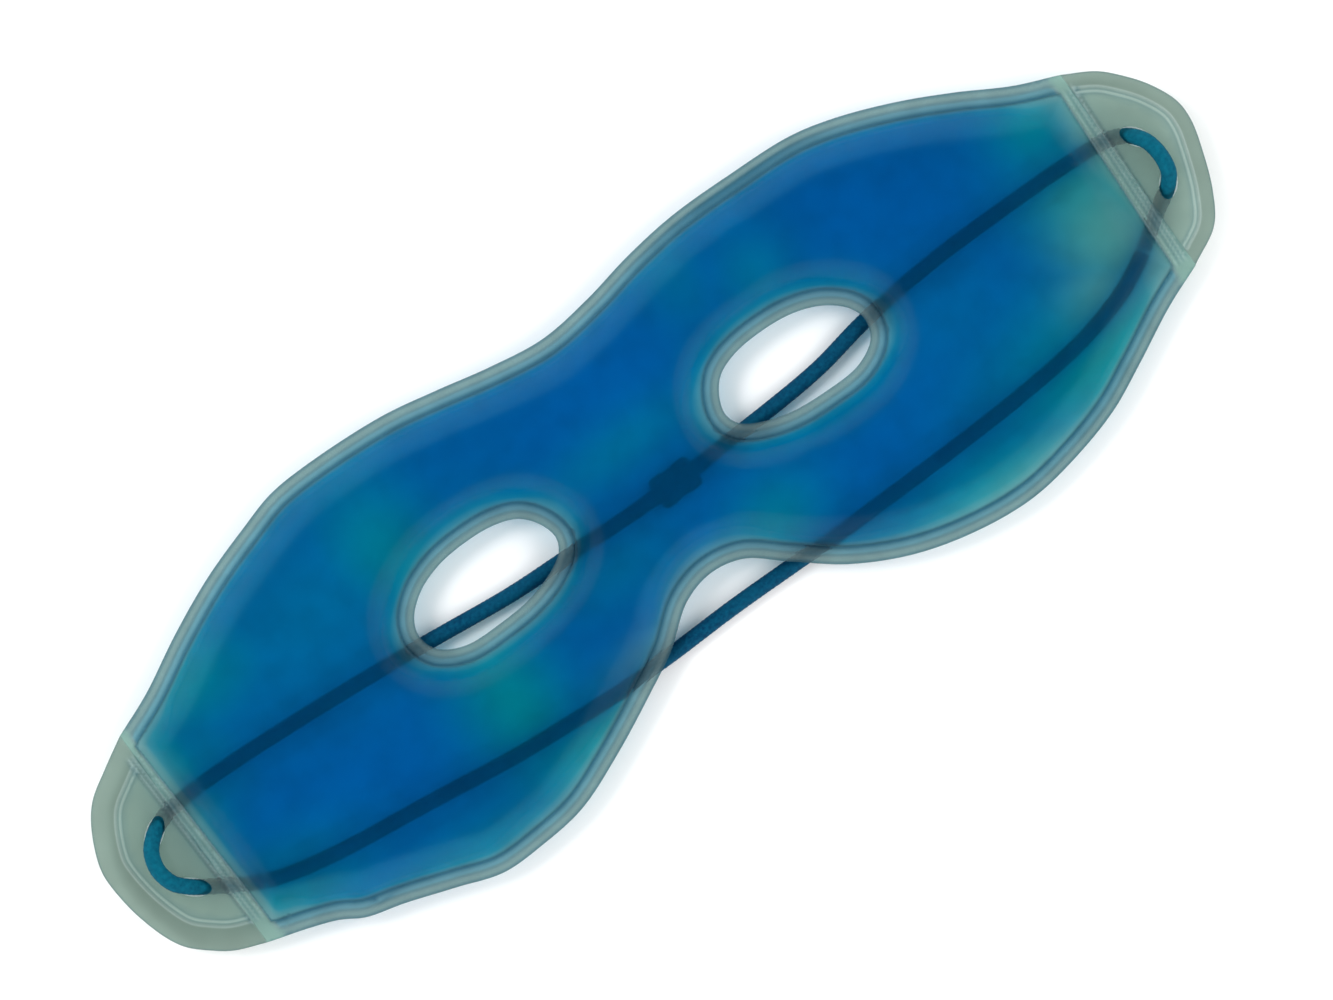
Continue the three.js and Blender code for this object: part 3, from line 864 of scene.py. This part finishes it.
front_high, front_low = front_top(POINTS, INTO), front_bottom(POINTS, INTO)
back_low, back_high = back_bottom(POINTS, INTO), back_top(POINTS, INTO)
layer("front_film", IN_SHEET, front_low, front_high, FRONT_PVC, "clear_film",
      ["left_front_film", "right_front_film", "left_rim_seam", "right_rim_seam",
       "left_eye_seam", "right_eye_seam", "fill_port_seal"],
      fused=FUSED, line=lines_and_painted_shade(), light=painted_highlights())
layer("back_film", IN_SHEET, back_low, back_high, BACK_PVC, "clear_film",
      ["left_back_film", "right_back_film"], fused=FUSED, line=NONE, light=NONE)

plain = 1 - 0.8 * bell(BY_CORD, 2.2)   # the gel keeps its blue over a cord
teal = np.maximum(spots(POINTS, TEAL_MARKS), 0.4 * bell(BY_EYE, 4.5)) * plain
gel = layer("gel", IN_CHAMBER, back_high + SKIN, front_low - SKIN, GEL, "blue_gel",
            ["left_gel_fill", "right_gel_fill"],
            depth=gel_depth(), teal=teal, pale=spots(POINTS, PALE_MARKS) * plain)


# ------------------------------------------------------------------ tabs

TAB_POINTS = {
    "right": [(97.7, 13), (103, 10), (106, 7), (109, 3), (111.2, -2), (111.3, -6), (110, -11),
              (107.3, -18), (104, -23), (97.7, -26.5)],
    "left": [(-97.7, 14.4), (-103, 11.3), (-108, 8), (-111, 4), (-113.5, -2), (-113.8, -5.5),
             (-112.8, -13), (-110, -20.5), (-106, -24.5), (-103, -26.6), (-97.7, -28.7)],
}
TAB_BAND = {"left": 4.2, "right": 2.6}   # width of the plain band round a tab's inner panel
HOLE_END, HOLE_SIDE = 0.3, 0.22    # room round a cord in its hole, along it and across it
HOLE_EDGE = 0.6       # thickness of tab that a hole's ends allow for
DIMPLE = (102.7, -0.8)             # middle of the small ring pressed beside the right tab's hole


def hole(path, first):
    """A loop round the place where a cord's path passes through the tab."""
    run = path if first else path[::-1]
    k = np.nonzero(run[:, 2] > WELD_Z)[0][0]
    along = run[k + 1] - run[k - 1]
    flat = math.hypot(along[0], along[1])
    u = along[:2] / flat
    v = np.array([-u[1], u[0]])
    long = ((CORD_R + HOLE_END) * math.hypot(flat, along[2]) / along[2]
            + HOLE_EDGE * flat / along[2])
    turn = np.linspace(0, 2 * np.pi, 28, endpoint=False)[:, None]
    return run[k, :2] + long * np.cos(turn) * u + (CORD_R + HOLE_SIDE) * np.sin(turn) * v


def tab_mesh(side):
    """A tab's flat mesh, its outer edge and its two holes."""
    sign = SIGNS[side]
    edge = spline(TAB_POINTS[side], 0.8)
    edge[[0, -1], 0] = sign * (FOLD_X + FOLD_GAP)
    steps = np.linspace(edge[-1], edge[0], 40)[1:-1]
    outline = np.vstack([edge, steps])
    holes = [hole(PATHS[side], first) for first in (True, False)]
    rows = []
    for level in [0.3, 0.6, 1.0, 1.4, *(TAB_BAND[side] + k * 0.16 for k in range(-4, 9))]:
        row = edge + sign * -level * open_normals(edge)
        keep = np.abs(distance(row, edge, closed=False) - level) < 0.05 + 0.02 * level
        keep &= (sign * row[:, 0] > FOLD_X + 0.2) & inside(row, outline)
        rows.append(row[keep])
    for loop in holes:
        middle = loop.mean(axis=0)
        rows += [middle + (loop - middle) * scale for scale in (1.1, 1.25)]
    bend, whole = sorted((sign * 97.9, sign * 101)), sorted((sign * FOLD_X, sign * 114))
    grids = [(hexes((low, -30), (high, 16), step), clear)
             for (low, high), step, clear in ((bend, 0.42, 0.3), (whole, 0.9, 0.6))]
    points, faces = flat_mesh([outline, *holes], [(np.vstack(rows), 0.12), *grids])
    faces = turned(faces, points)
    centres = points[faces].mean(axis=1)
    keep = inside(centres, outline)
    for loop in holes:
        keep &= ~inside(centres, loop)
    return points, faces[keep], edge, holes


def tab(side):
    """One end tab: a fused band round a panel of two films, with a hole for each end of the cord."""
    points, faces, edge, holes = tab_mesh(side)
    from_edge = distance(points, edge, closed=False)
    band = TAB_BAND[side]
    beyond = end_distance(points)
    panel = smooth((from_edge - band) / 0.4) * smooth((beyond - 2.4) / 0.4)
    framed = smooth((beyond - 1.8) / 0.5)
    lines = framed * (0.34 * bell(from_edge - band, 0.24) + 0.2 * bell(from_edge - band - 0.8, 0.2))
    straight = straight_weld(points)
    lines += 0.3 * straight * bars(beyond, END_RIDGES[2:], END_RIDGE_WIDTH)
    lip = sum(bell(distance(points, loop) - 0.35, 0.35) for loop in holes) * 0.14
    if side == "right":
        away = np.linalg.norm(points - DIMPLE, axis=1)
        lines += 0.2 * bell(away - 1.8, 0.22)
    inset = from_edge - band
    under = PATHS[side][PATHS[side][:, 2] < WELD_Z - CORD_R]
    by_cord = distance(points, under[under[:, 1] > -8, :2], closed=False)
    by_cord = np.minimum(by_cord, distance(points, under[under[:, 1] < -8, :2], closed=False))
    # dark: painted shade on the panel's pressed line, on the end weld's ridges and over the cord
    # under the tab, with a dark cut edge; pale: painted highlights beside those lines
    dark = np.clip(0.5 * framed * bars(inset, (0.3, 1.1), 0.2) + 0.55 * smooth(1 - from_edge / 0.4)
                   + 0.5 * straight * bars(beyond, PAINTED_SHADE_BARS, BAR_WIDTH)
                   + 0.5 * bell(by_cord, 1.3), 0, 1)
    pale = np.clip(0.45 * framed * bars(inset, (-0.1, 0.7), 0.2)
                   + 0.6 * straight * bars(beyond, PAINTED_HIGHLIGHT_BARS, BAR_WIDTH), 0, 1)
    wave = (noise_at(points, 8, 11) * 0.12 + noise_at(points, 2.0, 12) * 0.012)
    top = WELD_Z + GAP + FILM + lines + lip + wave - 0.1 * panel
    bottom = WELD_Z - GAP - FILM - 0.5 * lines + wave * 0.6
    used, verts, faces = slab(points, faces, bottom, top)
    obj = piece(f"{side}_tab_film", verts, faces, TAB_PVC, "fused_film",
                fused=np.tile(1 - panel[used], 2), line=np.tile(dark[used], 2),
                light=np.tile(pale[used], 2))
    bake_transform(obj)
    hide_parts(f"{side}_tab_seam", f"{side}_tab_front_film", f"{side}_tab_back_film")


for side in SIGNS:
    tab(side)


# ------------------------------------------------------------------ cords

def cord(name, path, material, nodes, with_pieces=()):
    """A run of the cord along a path, that hides the parts it replaces."""
    verts, faces = tube(path, CORD_R)
    obj = piece(name, verts, faces, material, "teal_cord", sharp=70)
    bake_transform(obj)
    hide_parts(*nodes)
    path = placed(path)


# The sleeve's outside, from its middle to its end: X, half its width and half its height
SLEEVE_SHAPE = [(0.8, 2.7, 1.48), (1.3, 2.92, 1.5), (3, 2.92, 1.5), (3.7, 2.75, 1.48),
                (3.97, 2.3, 1.46)]
BORE_R = CORD_R + 0.04


def sleeve_piece():
    """An oval rubber sleeve with a round bore for the cord's joined ends."""
    count = 28
    outer = [(-x, wide, high) for x, wide, high in SLEEVE_SHAPE[::-1]] + SLEEVE_SHAPE
    bore = [(x, BORE_R, BORE_R) for x in (3.97, 2, 0, -2, -3.97)]
    verts, faces = [], []
    for x, wide, high in outer + bore:
        middle = np.interp(SLEEVE[0] + x, ROUTES["upper"][:, 0], ROUTES["upper"][:, 1])
        for k in range(count):
            turn = 2 * math.pi * k / count
            verts.append((SLEEVE[0] + x, middle + wide * math.cos(turn),
                          SLEEVE[2] + high * math.sin(turn)))
    rings = len(outer) + len(bore)
    for j in range(rings):
        for k in range(count):
            a, b = j * count + k, j * count + (k + 1) % count
            up = (j + 1) % rings * count
            faces.append((a, up + k, up + (k + 1) % count, b))
    obj = piece("splice_sleeve", verts, faces, SLEEVE_RUBBER, "dark_sleeve", 50)
    return across_bridge(obj, "cord_splice_sleeve")


cord("upper_cord", PATHS["upper"], SHADED_RUN_CORD, ["left_upper_cord", "right_upper_cord"],
     [sleeve_piece()])
cord("lower_cord", PATHS["lower"], SHADED_RUN_CORD, ["left_lower_cord", "right_lower_cord"])
for side in SIGNS:
    cord(f"{side}_cord", PATHS[side], LIT_LOOP_CORD, [f"{side}_cord_loop"])


# ------------------------------------------------------------------ floor, light and camera

FLOOR_HALF = 3        # metres
SIDE_LIGHT, OVERHEAD_LIGHT = 1.65, 0.05   # strength of the world's glow, low down and overhead
LIGHT_BOUNCES = 16    # light crosses up to six faces of film and gel each way
CAMERA_HEIGHT = 1.0   # metres above the films' weld
VIEW_WIDTH = 0.2266   # metres across the picture at that distance
SENSOR = 36
AIM = (1.2, -6.9)     # the picture's middle, in millimetres from the middle of the eye line
VIEW_TURN = -35.5     # degrees


def floor():
    """A plain pale ground."""
    mesh = bpy.data.meshes.new("floor")
    corners = [(x * FLOOR_HALF, y * FLOOR_HALF, 0) for x, y in ((-1, -1), (1, -1), (1, 1), (-1, 1))]
    mesh.from_pydata(corners, [], [(0, 1, 2, 3)])
    material, nodes, links, shader = new_material("floor")
    grain = nodes.new("ShaderNodeTexNoise")
    grain.inputs["Scale"].default_value = 40
    links.new(ramp(nodes, links, grain.outputs["Fac"],
                   [(0.3, (0.93, 0.935, 0.94)), (0.7, (0.95, 0.95, 0.95))]),
              shader.inputs["Base Color"])
    shader.inputs["Roughness"].default_value = 0.9
    shader.inputs["Specular IOR Level"].default_value = 0.1
    mesh.materials.append(material)
    obj = bpy.data.objects.new("floor", mesh)
    bpy.context.scene.collection.objects.link(obj)


def area_light(name, place, size, power):
    """A round light that looks at the origin and isn't seen through or in the gel."""
    data = bpy.data.lights.new(name, "AREA")
    data.shape, data.size, data.energy = "DISK", size, power
    obj = bpy.data.objects.new(name, data)
    obj.location = place
    obj.visible_transmission = obj.visible_glossy = False
    obj.rotation_euler = (Vector((0, 0, 0)) - Vector(place)).to_track_quat("-Z", "Y").to_euler()
    bpy.context.scene.collection.objects.link(obj)


def studio():
    """Soft light from a world that is bright low down, and two weak lights."""
    world = bpy.data.worlds.new("studio")
    world.use_nodes = True
    background = world.node_tree.nodes["Background"]
    nodes, links = world.node_tree.nodes, world.node_tree.links
    split = nodes.new("ShaderNodeSeparateXYZ")
    links.new(nodes.new("ShaderNodeTexCoord").outputs["Generated"], split.inputs["Vector"])
    glow = scaled_value(nodes, links, split.outputs["Z"], 0.72, 0.93, SIDE_LIGHT, OVERHEAD_LIGHT)
    links.new(glow, background.inputs["Strength"])
    background.inputs["Color"].default_value = (1.0, 1.0, 1.0, 1)
    bpy.context.scene.world = world
    area_light("key", (-0.5, 0.6, 0.9), 0.5, 5)
    area_light("fill", (0.7, -0.5, 0.8), 0.7, 3)
    scene = bpy.context.scene
    scene.view_settings.view_transform = "Standard"
    scene.cycles.max_bounces = LIGHT_BOUNCES
    scene.cycles.min_light_bounces = LIGHT_BOUNCES
    scene.cycles.transmission_bounces = LIGHT_BOUNCES
    scene.cycles.transparent_max_bounces = LIGHT_BOUNCES
    scene.cycles.blur_glossy = 0


def camera():
    """Straight down, turned as in the photo."""
    data = bpy.data.cameras.new("camera")
    data.sensor_width = SENSOR
    data.lens = SENSOR * CAMERA_HEIGHT / VIEW_WIDTH
    data.clip_start = 0.01
    obj = bpy.data.objects.new("camera", data)
    x, y = AIM
    obj.location = (x * MM, (y + EYE_LINE) * MM, CAMERA_HEIGHT + WELD_Z * MM)
    obj.rotation_euler = (0, 0, math.radians(VIEW_TURN))
    bpy.context.scene.collection.objects.link(obj)
    bpy.context.scene.camera = obj


floor()
studio()
camera()
